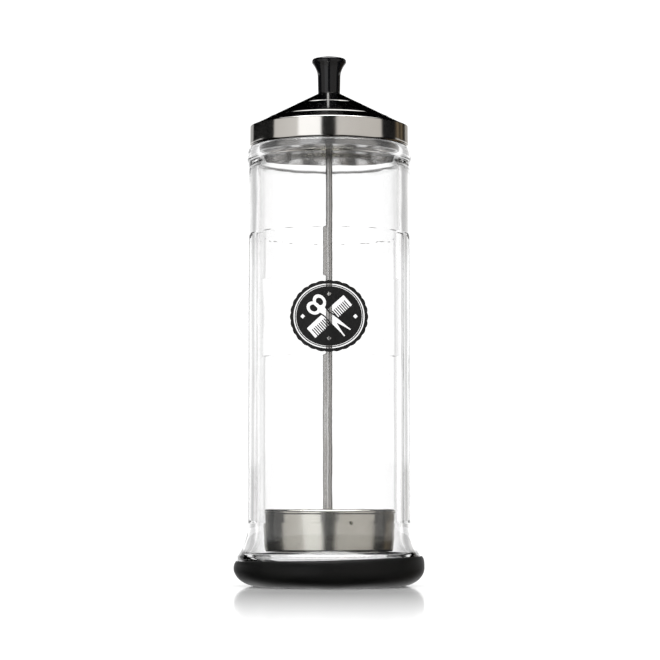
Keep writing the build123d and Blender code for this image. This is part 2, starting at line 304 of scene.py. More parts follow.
def glass_material():
    """Clear pressed glass with a faint ripple."""
    n = Finish("clear_glass")
    n.set(Base_Color=(1, 1, 1, 1), Roughness=0.0, IOR=1.5, Transmission_Weight=1.0)
    ripple = n.noise(n.place(), scale=55, detail=2.0)
    n.drive(Normal=n.bump(ripple, strength=0.15, distance=0.0005))
    return n.material


def rubber_material():
    """Matt black rubber, clouded where it has been handled, with a fine grain."""
    n = Finish("black_rubber")
    n.set(IOR=1.5, Specular_IOR_Level=0.16)
    cloud = n.noise(n.place(), scale=40, detail=4.0)
    grain = n.noise(n.place(), scale=1800, detail=2.0)
    n.drive(Base_Color=n.tint(cloud, (0.003, 0.003, 0.003), (0.008, 0.008, 0.0075)),
            Roughness=n.spread(cloud, MIDDLE, (0.38, 0.55)),
            Normal=n.bump(grain, strength=0.25, distance=0.00006))
    return n.material


def plastic_material():
    """Glossy black moulding with finger smears and faint turning marks."""
    n = Finish("black_plastic")
    n.set(Base_Color=(0.004, 0.004, 0.005, 1), IOR=1.5, Specular_IOR_Level=0.4)
    smear = n.noise(n.place(), scale=160, detail=5.0, roughness=0.6)
    fine = n.noise(n.turned_place(around=3, along=9000), detail=2.0)
    n.drive(Roughness=n.spread(smear, (0.35, 0.7), (0.1, 0.2)),
            Normal=n.bump(fine, strength=0.08, distance=0.00003))
    return n.material


def spun_steel_material(name, tone, roughness, brush, depth):
    """Steel with fine marks that run round the axis, and soft smears."""
    n = Finish(name)
    n.set(Metallic=1.0, Anisotropic=0.35)
    lines = n.noise(n.turned_place(around=0.8, along=brush), detail=4.0, roughness=0.65)
    smear = n.noise(n.place(), scale=70, detail=4.0, roughness=0.6)
    mixed = n.math("ADD", n.math("MULTIPLY", lines, 0.5), n.math("MULTIPLY", smear, 0.5))
    tangent = n.add("ShaderNodeTangent", direction_type="RADIAL", axis="Z")
    n.drive(Base_Color=n.tint(smear, tuple(0.9 * c for c in tone), tone),
            Roughness=n.spread(mixed, MIDDLE, (roughness * 0.6, roughness * 1.4)),
            Normal=n.bump(lines, strength=depth, distance=0.00002),
            Tangent=tangent.outputs[0])
    return n.material


def ring_steel_material():
    """Locating ring: bright inside; its outside is painted darker as shade from the lid's hem, and is
    rougher.
    """
    n = Finish("stamped_steel")
    n.set(Metallic=1.0)
    # Painted shade: the ring's outer side is darkened as if in the hem's shadow, made patchy by a smear
    # noise.
    painted_shade = n.spread(n.from_axis()[0], SHADED_FROM, (0.0, 1.0))
    lines = n.noise(n.turned_place(around=0.8, along=6000), detail=4.0, roughness=0.65)
    smear = n.noise(n.place(), scale=90, detail=4.0, roughness=0.6)
    patchy_shade = n.math("MULTIPLY", painted_shade, n.spread(smear, MIDDLE, (0.8, 1.0)))
    n.drive(Base_Color=n.tint(patchy_shade, (0.8, 0.8, 0.8), (0.3, 0.3, 0.3)),
            Roughness=n.spread(patchy_shade, (0, 1), (0.1, 0.24)),
            Normal=n.bump(lines, strength=0.2, distance=0.00002))
    return n.material


def drawn_steel_material():
    """Rod: marks that run along it."""
    n = Finish("rod_steel")
    n.set(Metallic=1.0)
    lines = n.noise(n.turned_place(around=14, along=25), detail=4.0, roughness=0.6)
    smear = n.noise(n.place(), scale=45)
    n.drive(Base_Color=n.tint(smear, (0.42, 0.42, 0.42), (0.6, 0.59, 0.58)),
            Roughness=n.spread(lines, MIDDLE, (0.14, 0.3)),
            Normal=n.bump(lines, strength=0.15, distance=0.00003))
    return n.material


def fastener_material(name, dark, light, rough):
    """Plated or turned metal with small stains and a fine pitting."""
    n = Finish(name)
    n.set(Metallic=1.0)
    smear = n.noise(n.place(), scale=260, detail=4.0)
    fine = n.noise(n.place(), scale=2600, detail=2.0)
    n.drive(Base_Color=n.tint(smear, dark, light),
            Roughness=n.spread(smear, MIDDLE, (rough * 0.7, rough * 1.4)),
            Normal=n.bump(fine, strength=0.2, distance=0.00002))
    return n.material


def nylon_material():
    """Off-white nylon, slightly translucent."""
    n = Finish("nylon")
    n.set(IOR=1.53, Subsurface_Weight=0.15)
    cloud = n.noise(n.place(), scale=300)
    n.drive(Base_Color=n.tint(cloud, (0.72, 0.71, 0.66), (0.86, 0.85, 0.81)),
            Roughness=n.spread(cloud, MIDDLE, (0.35, 0.55)),
            Normal=n.bump(cloud, strength=0.15, distance=0.00005))
    return n.material


def ink_material():
    """Fired-on black print with the grain of its screen."""
    n = Finish("black_print")
    n.set(IOR=1.45, Specular_IOR_Level=0.25)
    grain = n.noise(n.place(), scale=2400)
    cloud = n.noise(n.place(), scale=180)
    n.drive(Base_Color=n.tint(cloud, (0.006, 0.006, 0.006), (0.013, 0.013, 0.013)),
            Roughness=n.spread(grain, MIDDLE, (0.4, 0.6)),
            Normal=n.bump(grain, strength=0.2, distance=0.00002))
    return n.material


GLASS = glass_material()
RUBBER = rubber_material()
PLASTIC = plastic_material()
POLISHED = spun_steel_material("polished_steel", (0.83, 0.81, 0.78), roughness=0.1, brush=9000, depth=0.12)
BRUSHED = spun_steel_material("brushed_steel", (0.64, 0.63, 0.58), roughness=0.18, brush=5000, depth=0.3)
STAMPED = ring_steel_material()
ROD_STEEL = drawn_steel_material()
ZINC = fastener_material("zinc_steel", (0.42, 0.42, 0.42), (0.6, 0.6, 0.59), rough=0.28)
BRASS = fastener_material("brass", (0.6, 0.42, 0.16), (0.8, 0.6, 0.28), rough=0.25)
NYLON = nylon_material()
INK = ink_material()

# ---- Glass jar ----
BODY_R = 44.4
INNER_R = 39.2
MOUTH_R = 38.6
FOOT_Z = low("glass_jar")
RIM_Z = high("glass_jar")
FOOT_R = reach("glass_jar")
FOOT_FLAT_R = 39.5
FOOT_SIDE_Z = 10.0
PUNT_R = 30.0
PUNT_RISE = 3.4
PUNT_EDGE_R = 0.8
COVE_R = 28.5
COVE_TOP_Z = 33.0
FLOOR_Z = 10.5
FLOOR_CORNER_R = 4.5
BEAD_Z = 232.2
BEAD_R = 45.2
BEAD_MID_Z = 234.4
BEAD_FOOT = ((0, -0.5), (0.01, -0.25), (0.08, 0), (0.24, 0.22))  # (out of the body, above BEAD_Z)
BEAD_LOWER_R = 0.9
BEAD_UPPER_R = 1.9
LIP_R = 2.2
LIP_END_DROP = 3.4
MOUTH_STEP = ((MOUTH_R, 231.5), (MOUTH_R + 0.12, 230.6), (MOUTH_R + 0.45, 229.0), (INNER_R, 227.6))
INNER_TOP_Z = 224.0
FACETS = 18
FACET_STEP = TURN / FACETS
FACET_FLAT_R = 44.15
FACET_BOTTOM_Z = 34.6
FACET_TOP_Z = 191.4
FACET_RUN_OUT = 0.8
EDGE_ROWS = 6
ROWS_PER_RUN_OUT = 5
RIDGE_ANGLE = math.radians(1.5 - 90)
RIDGE_SOFTNESS = 0.05
LABEL_BOTTOM_Z = 123.4
LABEL_TOP_Z = 165.2
LABEL_HALF_ANGLE = 3 * FACET_STEP
LABEL_CALM = 12.0  # the waves fade over this much glass above and below the label panel
WAVE_HEIGHT = 26.0  # height in millimetres that the waves take for a turn of one radian
WAVES = ((1.7, 0.10, (0, 0, 0)), (4.1, 0.07, (5, 5, 5)), (9.0, 0.015, (9, 2, 7)))  # (fineness, depth, start)
OUTER_WAVE = 0.15
BEAD_WAVE = 2.5


def facet_depth(angle, z):
    """How far the facets cut into the round body at a point, in millimetres."""
    from_ridge = (angle - RIDGE_ANGLE) % TURN
    local = from_ridge % FACET_STEP - FACET_STEP / 2
    cut = BODY_R - FACET_FLAT_R / math.cos(local)
    depth = (cut + math.sqrt(cut * cut + RIDGE_SOFTNESS ** 2)) / 2
    along = soft_step(z, FACET_BOTTOM_Z - FACET_RUN_OUT, FACET_BOTTOM_Z + FACET_RUN_OUT)
    along *= 1 - soft_step(z, FACET_TOP_Z - FACET_RUN_OUT / 2, FACET_TOP_Z + FACET_RUN_OUT / 2)
    if min(from_ridge, TURN - from_ridge) < LABEL_HALF_ANGLE:
        edge = FACET_RUN_OUT / 2
        outside = 1 - soft_step(z, LABEL_BOTTOM_Z - edge, LABEL_BOTTOM_Z + edge)
        outside += soft_step(z, LABEL_TOP_Z - edge, LABEL_TOP_Z + edge)
        along *= outside
    return depth * along


def glass_outline():
    """Outline of the jar from the middle of the underside, up the outside, and down inside to the floor."""
    punt_arc_r = (PUNT_R ** 2 + PUNT_RISE ** 2) / (2 * PUNT_RISE)
    punt_angle = math.degrees(math.asin(PUNT_R / punt_arc_r))
    cove_x = BODY_R + COVE_R
    cove_end = 180 + math.degrees(math.acos((cove_x - FOOT_R) / COVE_R))
    outer = arc((0, FOOT_Z + PUNT_RISE - punt_arc_r), punt_arc_r, 90, 90 - punt_angle, 8)
    outer[0] = (0, outer[0][1])
    outer += arc((PUNT_R + PUNT_EDGE_R, FOOT_Z + PUNT_EDGE_R), PUNT_EDGE_R, 250, 270, 3)
    outer += arc((FOOT_FLAT_R, FOOT_SIDE_Z), (FOOT_R - FOOT_FLAT_R, FOOT_SIDE_Z - FOOT_Z), -90, 0, 10)
    outer += arc((cove_x, COVE_TOP_Z), COVE_R, cove_end, 180, 16)
    for start, end in ((FACET_BOTTOM_Z, LABEL_BOTTOM_Z), (LABEL_BOTTOM_Z, LABEL_TOP_Z),
                       (LABEL_TOP_Z, FACET_TOP_Z)):
        outer += edge_rows(start)
        outer += straight((BODY_R, start + 2.5), (BODY_R, end - 2.5), 4)
    outer += edge_rows(FACET_TOP_Z)
    outer += straight((BODY_R, FACET_TOP_Z + 3), (BODY_R, BEAD_Z - 1.2), 5)
    bead = bead_points()
    lip = arc((MOUTH_R + LIP_R, RIM_Z - LIP_R), LIP_R, 90, 180, 6)
    inner = lip + straight((MOUTH_R, RIM_Z - LIP_END_DROP), MOUTH_STEP[0], 3)
    inner += MOUTH_STEP[1:]
    inner += straight((INNER_R, INNER_TOP_Z), (INNER_R, COVE_TOP_Z + 2), 26)
    inner_cove_r = COVE_R + BODY_R - INNER_R
    corner_z = FLOOR_Z + FLOOR_CORNER_R
    drop = COVE_TOP_Z - corner_z
    corner_x = cove_x - math.sqrt((inner_cove_r + FLOOR_CORNER_R) ** 2 - drop ** 2)
    turn = math.degrees(math.asin(drop / (inner_cove_r + FLOOR_CORNER_R)))
    inner += arc((cove_x, COVE_TOP_Z), inner_cove_r, 180, 180 + turn, 14)
    inner += arc((corner_x, corner_z), FLOOR_CORNER_R, turn, -90, 10)[1:]
    inner += straight((corner_x - 4, FLOOR_Z), (0, FLOOR_Z), 5)
    return outer + bead + inner, len(outer), len(outer) + len(bead)


def edge_rows(z):
    """Close rows across the end of the facets."""
    steps = range(-EDGE_ROWS, EDGE_ROWS + 1)
    return [(BODY_R, z + FACET_RUN_OUT * step / ROWS_PER_RUN_OUT) for step in steps]


def bead_points():
    """Rounded bead under the rim, from the neck to the flat that the lid rests on."""
    points = [(BODY_R + out, BEAD_Z + above) for out, above in BEAD_FOOT]
    points += arc((BEAD_R - BEAD_LOWER_R, BEAD_MID_Z), (BEAD_LOWER_R, BEAD_MID_Z - BEAD_Z), -54, 0, 9)
    points += arc((BEAD_R - BEAD_UPPER_R, BEAD_MID_Z), (BEAD_UPPER_R, RIM_Z - BEAD_MID_Z), 0, 90, 14)[1:]
    return points


def make_glass():
    outline, neck_end, bead_end = glass_outline()

    def shift(index, angle, radius, z):
        side = Vector((math.cos(angle), math.sin(angle), z / WAVE_HEIGHT))
        wave = sum(noise.noise(side * fine + Vector(start)) * depth for fine, depth, start in WAVES)
        if index < neck_end:
            uneven = soft_step(z, COVE_TOP_Z - 8, COVE_TOP_Z + 4)
            below = soft_step(z, LABEL_BOTTOM_Z - LABEL_CALM, LABEL_BOTTOM_Z)
            above = soft_step(z, LABEL_TOP_Z + LABEL_CALM, LABEL_TOP_Z)
            uneven *= 1 - below * above
            return radius - facet_depth(angle, z) + wave * OUTER_WAVE * uneven, z
        if index < bead_end:
            return radius, z + wave * BEAD_WAVE * (1 - soft_step(z, BEAD_Z, BEAD_MID_Z))
        return radius + wave * soft_step(radius, 5, 20), z

    made = turned("glass_body", outline, segments=450, closed=False, shift=shift)
    piece = finish_mesh("glass_body", made, "jar", "glass_jar", GLASS, sharp=60)
    piece.visible_shadow = False


# ---- Printed emblem: a scalloped seal with a comb and scissors left clear in it ----
BADGE_HALF_W = BODY_R * math.asin(reach("badge_print") / BODY_R)
BADGE_HALF_H = (high("badge_print") - low("badge_print")) / 2
BADGE_Z = (high("badge_print") + low("badge_print")) / 2
BADGE_CELL = 0.3
BADGE_SKIN = 0.12
BADGE_SINK = 0.02
CELL_MARGIN = 0.03  # keeps a cut off the corners of its cell
SCALLOPS = 28
SCALLOP_DEPTH = 0.022
RINGS = ((0.885, 0.32), (0.835, 0.16))  # clear rings: (share of the seal's size, half width)
TOOL_TILT = 42  # the comb leans one way by this and the scissors the other
TOOL_GAP = 0.7
DOTS = ((14.2, 0), (0, 11.8))
DOT_HALF = 1.3
COMB_BACK = (0, 2.0, 13.2, 1.15)  # (across, up, half length, half height)
COMB_END = (12.5, -1.0, 0.7, 2.8)
TEETH_HALF_SPAN = 12.4
TEETH_Y = -1.2
TEETH_HALF_HEIGHT = 2.6
TOOTH_PITCH = 1.2
TOOTH_HALF_GAP = 0.32
BLADE_LENGTH = 13.5
BLADE_BACK = 6.0
BLADE_TIP_HALF = 0.35
BLADE_TAPER = 0.95
BLADE_OFFSET = 0.25
BLADE_TILT = 9
GRIP_BACK = 9.2
GRIP_OUT = 0.9
GRIP_STRETCH = 1.25
GRIP_R = 2.5
GRIP_HALF_WIDTH = 0.75


def box_distance(x, y, cx, cy, half_x, half_y):
    """Distance to an upright rectangle, negative inside."""
    dx = abs(x - cx) - half_x
    dy = abs(y - cy) - half_y
    return math.hypot(max(dx, 0), max(dy, 0)) + min(max(dx, dy), 0)


def turn_point(x, y, degrees):
    """The point in axes that are turned by an angle."""
    c, s = math.cos(math.radians(degrees)), math.sin(math.radians(degrees))
    return x * c + y * s, y * c - x * s


def comb_distance(x, y):
    """Straight comb: a long back with a row of teeth and a broader tooth at each end."""
    back = box_distance(x, y, *COMB_BACK)
    tooth = abs((x + TOOTH_PITCH / 2) % TOOTH_PITCH - TOOTH_PITCH / 2) - TOOTH_HALF_GAP
    teeth = max(tooth, abs(x) - TEETH_HALF_SPAN, abs(y - TEETH_Y) - TEETH_HALF_HEIGHT)
    ends = box_distance(abs(x), y, *COMB_END)
    return min(back, teeth, ends)


def scissor_distance(x, y):
    """Open scissors: two tapering blades that cross at the pivot, each with a ring grip."""
    distances = []
    for side in (-1, 1):
        u, v = turn_point(x, y, BLADE_TILT * side)
        width = BLADE_TIP_HALF + BLADE_TAPER * soft_step(u, BLADE_LENGTH, 1.0)
        distances.append(max(abs(v - BLADE_OFFSET * side) - width, u - BLADE_LENGTH, -u - BLADE_BACK))
        from_grip = math.hypot((u + GRIP_BACK) / GRIP_STRETCH, v + GRIP_OUT * side)
        distances.append(abs(from_grip - GRIP_R) - GRIP_HALF_WIDTH)
    return min(distances)


def seal_value(x, y):
    """Positive where there is ink."""
    round_x, round_y = x / BADGE_HALF_W, y / BADGE_HALF_H
    ring = math.hypot(round_x, round_y)
    wave = SCALLOP_DEPTH * (1 - abs(math.cos(math.atan2(round_y, round_x) * SCALLOPS / 2)))
    ink = (1 - wave - ring) * BADGE_HALF_H
    for share, half in RINGS:
        ink = min(ink, abs(ring - share) * BADGE_HALF_H - half)
    scissors = scissor_distance(*turn_point(x, y, -TOOL_TILT))
    comb = comb_distance(*turn_point(x, y, TOOL_TILT))
    ink = min(ink, scissors, max(comb, TOOL_GAP - scissors))
    for dot_x, dot_y in DOTS:
        ink = min(ink, abs(abs(x) - dot_x) + abs(abs(y) - dot_y) - DOT_HALF)
    return ink


def make_badge():
    """Cuts the seal out of a fine grid, bends it round the label panel and gives it a thickness."""
    across = int(BADGE_HALF_W / BADGE_CELL) + 2
    up = int(BADGE_HALF_H / BADGE_CELL) + 2
    value = {}
    for i in range(-across, across + 1):
        for j in range(-up, up + 1):
            value[i, j] = seal_value(i * BADGE_CELL, j * BADGE_CELL)
    flat = []
    known = {}

    def point(key, x, y):
        if key not in known:
            known[key] = len(flat)
            flat.append((x * BADGE_CELL, y * BADGE_CELL))
        return known[key]

    fronts = []
    for i in range(-across, across):
        for j in range(-up, up):
            ring = [(i, j), (i + 1, j), (i + 1, j + 1), (i, j + 1)]
            face = []
            for a, b in zip(ring, ring[1:] + ring[:1]):
                inside, next_inside = value[a] > 0, value[b] > 0
                if inside:
                    face.append(point(a, *a))
                if inside != next_inside:
                    first, second = sorted((a, b))
                    t = value[first] / (value[first] - value[second])
                    t = min(1 - CELL_MARGIN, max(CELL_MARGIN, t))
                    face.append(point((first, second), first[0] + (second[0] - first[0]) * t,
                                      first[1] + (second[1] - first[1]) * t))
            if len(face) > 2:
                fronts.append(face)
    count = len(flat)
    vertices = []
    for radius in (BODY_R + BADGE_SKIN, BODY_R - BADGE_SINK):
        for x, y in flat:
            angle = x / BODY_R - math.pi / 2
            c, s = math.cos(angle), math.sin(angle)
            vertices.append((radius * MM * c, radius * MM * s, (BADGE_Z + y) * MM))
    edges = dict.fromkeys(pair for face in fronts for pair in zip(face, face[1:] + face[:1]))
    faces = fronts + [[count + v for v in reversed(face)] for face in fronts]
    faces += [(b, a, count + a, count + b) for a, b in edges if (b, a) not in edges]
    made = bpy.data.meshes.new("seal_print")
    made.from_pydata(vertices, [], faces)
    finish_mesh("seal_print", made, "jar", "badge_print", INK, sharp=40)


# ---- Rubber boot ----
BOOT_SAG = 3.0
BOOT_HIGH_ANGLE = math.radians(-10)
BOOT_LIP_R = 33.0
BOOT_STAND_R = 38.9
BOOT_SIDE_Z = 10.0
BOOT_TOP_ROUND = 4.8
BOOT_GAP = 0.12
BOOT_WAVE = 0.3


def make_boot():
    top = high("base_boot")
    side = reach("base_boot")
    inside = FOOT_R + BOOT_GAP
    lip = BOOT_LIP_R
    outline = [(lip, FOOT_Z - 0.5), (lip, 0.5), (lip + 0.5, 0)]
    outline += arc((BOOT_STAND_R, BOOT_SIDE_Z), (side - BOOT_STAND_R, BOOT_SIDE_Z), -90, 0, 18)
    outline += arc((inside + 0.25, top - BOOT_TOP_ROUND), (side - inside - 0.25, BOOT_TOP_ROUND), 0, 90, 12)
    outline += [(inside + 0.02, top - 0.15), (inside, FOOT_SIDE_Z)]
    seat = (inside - FOOT_FLAT_R, FOOT_SIDE_Z - FOOT_Z + 0.02)
    outline += arc((FOOT_FLAT_R, FOOT_SIDE_Z), seat, 0, -90, 12)[1:]
    outline += [(lip + 0.5, FOOT_Z - 0.02)]

    def shift(index, angle, radius, z):
        sag = BOOT_WAVE * noise.noise(Vector((math.cos(angle), math.sin(angle), 0.3)) * 1.3)
        low_side = BOOT_SAG * (1 - math.cos(angle - BOOT_HIGH_ANGLE)) / 2
        return radius, z + (sag - low_side) * soft_step(z, 6, top)

    made = turned("boot_skin", outline, segments=240, shift=shift)
    finish_mesh("boot_skin", made, "jar", "base_boot", RUBBER)


# ---- Lid ----
SHEET = 0.8
BAND_R = reach("lid_shell")
BAND_TOP_Z = 250.9
LAND_R = 6.6
LAND_Z = high("lid_shell")
HEM_Z = low("lid_shell")
HEM_R = 1.5
GROOVE_RADII = (19.7, 35.7)
GROOVE_HALF = 0.98
GROOVE_DEPTH = 0.25
GROOVE_ZONE = 2.0
GROOVE_ROWS = 12
GROOVE_ROW_STEP = 0.12
GROOVE_SOFTNESS = 0.03
RING_FLANGE_R = 35.2
RING_GAP = 0.12
CONE_SLOPE = (LAND_Z - BAND_TOP_Z) / (BAND_R - LAND_R)
LID_HOLE_R = 2.06


def cone_z(radius, drop=0.0):
    """Height of the cone at a radius, less a drop."""
    return LAND_Z - (radius - LAND_R) * CONE_SLOPE - drop


def make_lid_shell():
    drop = SHEET * math.hypot(1, CONE_SLOPE)
    inner = BAND_R - SHEET
    hem_x = BAND_R - HEM_R
    corner = rounded([(BAND_R - 4, cone_z(BAND_R - 4), 0), (BAND_R, BAND_TOP_Z, 0.7),
                      (BAND_R, BAND_TOP_Z - 3, 0)], closed=False, count=8)
    outline = rounded([(LID_HOLE_R, LAND_Z - 0.3, 0), (LID_HOLE_R, LAND_Z, 0.15), (LAND_R, LAND_Z, 0.8),
                       (LAND_R + 3, cone_z(LAND_R + 3), 0)], closed=False, count=4)
    last = LAND_R + 3
    for radius in GROOVE_RADII:
        start = radius - GROOVE_ZONE
        outline += straight((last + 0.5, cone_z(last + 0.5)), (start, cone_z(start)), 3)
        for step in range(-GROOVE_ROWS, GROOVE_ROWS + 1):
            across = step * GROOVE_ROW_STEP
            dip = max(0, 1 - (across / GROOVE_HALF) ** 2)
            edge = math.sqrt(dip * dip + GROOVE_SOFTNESS) - math.sqrt(GROOVE_SOFTNESS)
            outline.append((radius + across, cone_z(radius + across) - GROOVE_DEPTH * edge))
        last = radius + GROOVE_ZONE
    outline += corner
    outline += straight((BAND_R, BAND_TOP_Z - 4), (BAND_R, HEM_Z + HEM_R), 3)
    outline += arc((hem_x, HEM_Z + HEM_R), HEM_R, 0, -180, 16)[1:]
    outline += arc((hem_x, HEM_Z + HEM_R), HEM_R - SHEET, -180, 0, 10)
    outline += rounded([(inner, HEM_Z + HEM_R + 0.5, 0), (inner, cone_z(inner, drop), 0.6),
                        (LAND_R, LAND_Z - SHEET, 0.8), (LID_HOLE_R, LAND_Z - SHEET, 0)],
                       closed=False, count=4)
    made = turned("lid_skin", outline, segments=256)
    finish_mesh("lid_skin", made, "lid", "lid_shell", POLISHED, sharp=40)


def make_lid_ring():
    bottom = low("lid_inner_ring")
    outer = reach("lid_inner_ring")
    flange = RING_FLANGE_R
    under = SHEET * math.hypot(1, CONE_SLOPE) + RING_GAP
    inside = outer - SHEET
    outline = rounded([
        (outer, bottom, 0.3), (outer, cone_z(outer, under), 0.5), (flange, cone_z(flange, under), 0.2),
        (flange, cone_z(flange, under + SHEET), 0.2), (inside, cone_z(inside, under + SHEET), 0.6),
        (inside, bottom, 0.3)], count=4)
    made = turned("lid_ring", outline, segments=224)
    finish_mesh("lid_ring", made, "lid", "lid_inner_ring", STAMPED, sharp=50)


# ---- Knob and its insert ----
KNOB_BASE = ((0, 0.2), (2.3, 0.2), (2.6, 0), (5.8, 0), (6.1, 0.3))  # (radius, above the base)
KNOB_STEM_R = 6.12
KNOB_STEM_TOP = (6.3, 279.0)
KNOB_FLARE = (7.05, 283.6)
KNOB_HEAD_Z = 288.4
KNOB_EDGE = ((0.35, -1.2), (0.6, 1.2))  # (inward of the head's radius, above its widest height)
INSERT_BORE_R = 2.02
INSERT_WAIST_Z = 277.2
INSERT_WAIST_HALF = 0.8
INSERT_WAIST_CUT = 0.5
KNURL_DEPTH = 0.12
KNURL_TEETH = 18
KNURL_LEAN = 1.1


def make_knob():
    base = low("knob")
    top = high("knob")
    head_r = reach("knob")
    outline = [(radius, base + above) for radius, above in KNOB_BASE]
    outline += straight((KNOB_STEM_R, base + 1), KNOB_STEM_TOP, 5)
    edge_low, edge_high = ((head_r - inward, KNOB_HEAD_Z + above) for inward, above in KNOB_EDGE)
    outline += arc_through(KNOB_STEM_TOP, KNOB_FLARE, edge_low, 14)[1:]
    outline += arc_through(edge_low, (head_r, KNOB_HEAD_Z), edge_high, 8)[1:]
    dome_edge = outline[-1]
    rise = top - dome_edge[1]
    dome_r = (dome_edge[0] ** 2 + rise ** 2) / (2 * rise)
    spread = math.degrees(math.asin(dome_edge[0] / dome_r))
    outline += arc((0, top - dome_r), dome_r, 90 - spread, 90, 10)[1:-1]
    outline.append((0, top))
    made = turned("knob_body", outline, segments=128, closed=False)
    finish_mesh("knob_body", made, "hanger", "knob", PLASTIC, sharp=50)


def make_insert():
    bottom = low("knob_insert")
    top = high("knob_insert")
    outer = reach("knob_insert")
    waist_r = outer - INSERT_WAIST_CUT
    waist_low = INSERT_WAIST_Z - INSERT_WAIST_HALF
    waist_high = INSERT_WAIST_Z + INSERT_WAIST_HALF
    outline = rounded([
        (INSERT_BORE_R, bottom, 0.15), (outer, bottom, 0.3), (outer, waist_low, 0.2),
        (waist_r, waist_low, 0.1), (waist_r, waist_high, 0.1), (outer, waist_high, 0.2),
        (outer, top, 0.3), (INSERT_BORE_R, top, 0.2),
    ], count=3)

    def shift(index, angle, radius, z):
        knurl = KNURL_DEPTH * abs(math.sin(angle * KNURL_TEETH + z * KNURL_LEAN))
        return radius - knurl * soft_step(radius, outer - 0.35, outer - 0.1), z

    made = turned("insert_body", outline, segments=144, shift=shift)
    finish_mesh("insert_body", made, "hanger", "knob_insert", BRASS, sharp=50)


# ---- Rod, nuts and washers ----
PITCH = 0.7
THREAD_R = 1.98
THREAD_DEPTH = 0.36
ROD_R = 1.8
ROWS_PER_PITCH = 8
CREST_TO_ROOT = (0.12, 0.95)  # shares of half a pitch between which a thread falls from crest to root
THREAD_FADE_OUT = 0.6
THREAD_FADE_IN = 0.4
TIP_R = 1.45
TIP_SLOPE = 0.9
LOWER_THREAD_END_Z = 25.0
UPPER_THREAD_START_Z = 262.0
NUT_FLATS = 7.0
NUT_BORE_R = 2.02
NUT_CHAMFER = 0.35
NUT_CORNER_CUT = 0.45
LOCK_COLLAR = 1.6
WASHER_BORE_R = 2.15
SPRING_OUTER_R = 3.6
SPRING_LIFT = 0.18
SPRING_STEPS = 72
SPRING_GAP = math.radians(14)


def make_rod():
    """Rod with real helical threads at both ends."""
    bottom = low("lift_rod")
    top = high("lift_rod")
    rows = [(0, bottom), (1.0, bottom), (1.5, bottom + 0.1)]
    z = bottom + 0.2
    while z < LOWER_THREAD_END_Z + THREAD_FADE_OUT:
        rows.append((THREAD_R, z))
        z += PITCH / ROWS_PER_PITCH
    rows += straight((ROD_R, LOWER_THREAD_END_Z + 1), (ROD_R, UPPER_THREAD_START_Z - 1), 12)
    z = UPPER_THREAD_START_Z - THREAD_FADE_OUT
    while z < top - 0.2:
        rows.append((THREAD_R, z))
        z += PITCH / ROWS_PER_PITCH
    rows += [(1.5, top - 0.1), (1.0, top), (0, top)]

    def shift(index, angle, radius, z):
        if radius < THREAD_R - 0.01:
            return radius, z
        phase = (z / PITCH - angle / TURN) % 1
        tooth = abs(phase - 0.5) * 2
        crest = THREAD_R - THREAD_DEPTH * soft_step(tooth, *CREST_TO_ROOT)
        end = min(z - bottom, top - z)
        full = soft_step(z, LOWER_THREAD_END_Z + THREAD_FADE_OUT, LOWER_THREAD_END_Z - THREAD_FADE_IN)
        full += soft_step(z, UPPER_THREAD_START_Z - THREAD_FADE_OUT, UPPER_THREAD_START_Z + THREAD_FADE_IN)
        r = ROD_R + (crest - ROD_R) * min(1.0, full)
        return min(r, TIP_R + end * TIP_SLOPE), z

    made = turned("rod_body", rows, segments=32, closed=False, shift=shift)
    finish_mesh("rod_body", made, "hanger", "lift_rod", ROD_STEEL, sharp=60)


def hexagon(name, bottom, height, collar):
    """Nut outline: a turned blank whose outer rows follow a hexagon, rounded at its corners."""
    hole_r = NUT_BORE_R
    corner_r = NUT_FLATS / 2 / math.cos(math.pi / 6)
    flat_edge_r = corner_r - NUT_CORNER_CUT
    top = bottom + height
    outline = [(hole_r + 0.35, bottom), (hole_r + 1.2, bottom), (flat_edge_r, bottom),
               (corner_r, bottom + NUT_CHAMFER), (corner_r, bottom + height / 2)]
    if collar > 0:
        shoulder = top - collar
        outline += [(corner_r, shoulder - NUT_CHAMFER), (flat_edge_r, shoulder),
                    (hole_r + 1.15, shoulder + 0.15), (hole_r + 1.0, top - 0.2), (hole_r + 0.8, top)]
    else:
        outline += [(corner_r, top - NUT_CHAMFER), (flat_edge_r, top), (hole_r + 1.2, top)]
    outline += [(hole_r + 0.35, top), (hole_r, top - 0.35), (hole_r, bottom + 0.35)]

    def shift(index, angle, radius, z):
        if radius < hole_r + 1.3:
            return radius, z
        local = (angle % (math.pi / 3)) - math.pi / 6
        return min(radius, NUT_FLATS / 2 / math.cos(local)), z

    return turned(name, outline, segments=96, shift=shift)


def make_washer(node, name, material, edge):
    inner, outer, bottom, top = WASHER_BORE_R, reach(node), low(node), high(node)
    outline = rounded([(inner, bottom, edge), (outer, bottom, edge), (outer, top, edge), (inner, top, edge)],
                      count=3)
    finish_mesh(name, turned(name, outline, segments=72), "hanger", node, material)


def make_spring_washer():
    """Split ring whose two ends stand a little apart."""
    bottom = low("basket_spring_washer")
    thick = high("basket_spring_washer") - bottom - SPRING_LIFT
    section = rounded([(WASHER_BORE_R, 0, 0.12), (SPRING_OUTER_R, 0, 0.12), (SPRING_OUTER_R, thick, 0.12),
                       (WASHER_BORE_R, thick, 0.12)], count=2)
    vertices = []
    faces = []
    size = len(section)
    for step in range(SPRING_STEPS + 1):
        t = step / SPRING_STEPS
        angle = SPRING_GAP / 2 + (TURN - SPRING_GAP) * t
        rise = bottom + SPRING_LIFT * t
        for radius, z in section:
            vertices.append((radius * MM * math.cos(angle), radius * MM * math.sin(angle), (z + rise) * MM))
    for step in range(SPRING_STEPS):
        for i in range(size):
            j = (i + 1) % size
            a = step * size
            faces.append((a + i, a + j, a + size + j, a + size + i))
    faces.append(tuple(range(size)))
    faces.append(tuple(SPRING_STEPS * size + i for i in reversed(range(size))))
    made = bpy.data.meshes.new("spring_washer")
    made.from_pydata(vertices, [], faces)
    finish_mesh("spring_washer", made, "hanger", "basket_spring_washer", ZINC)


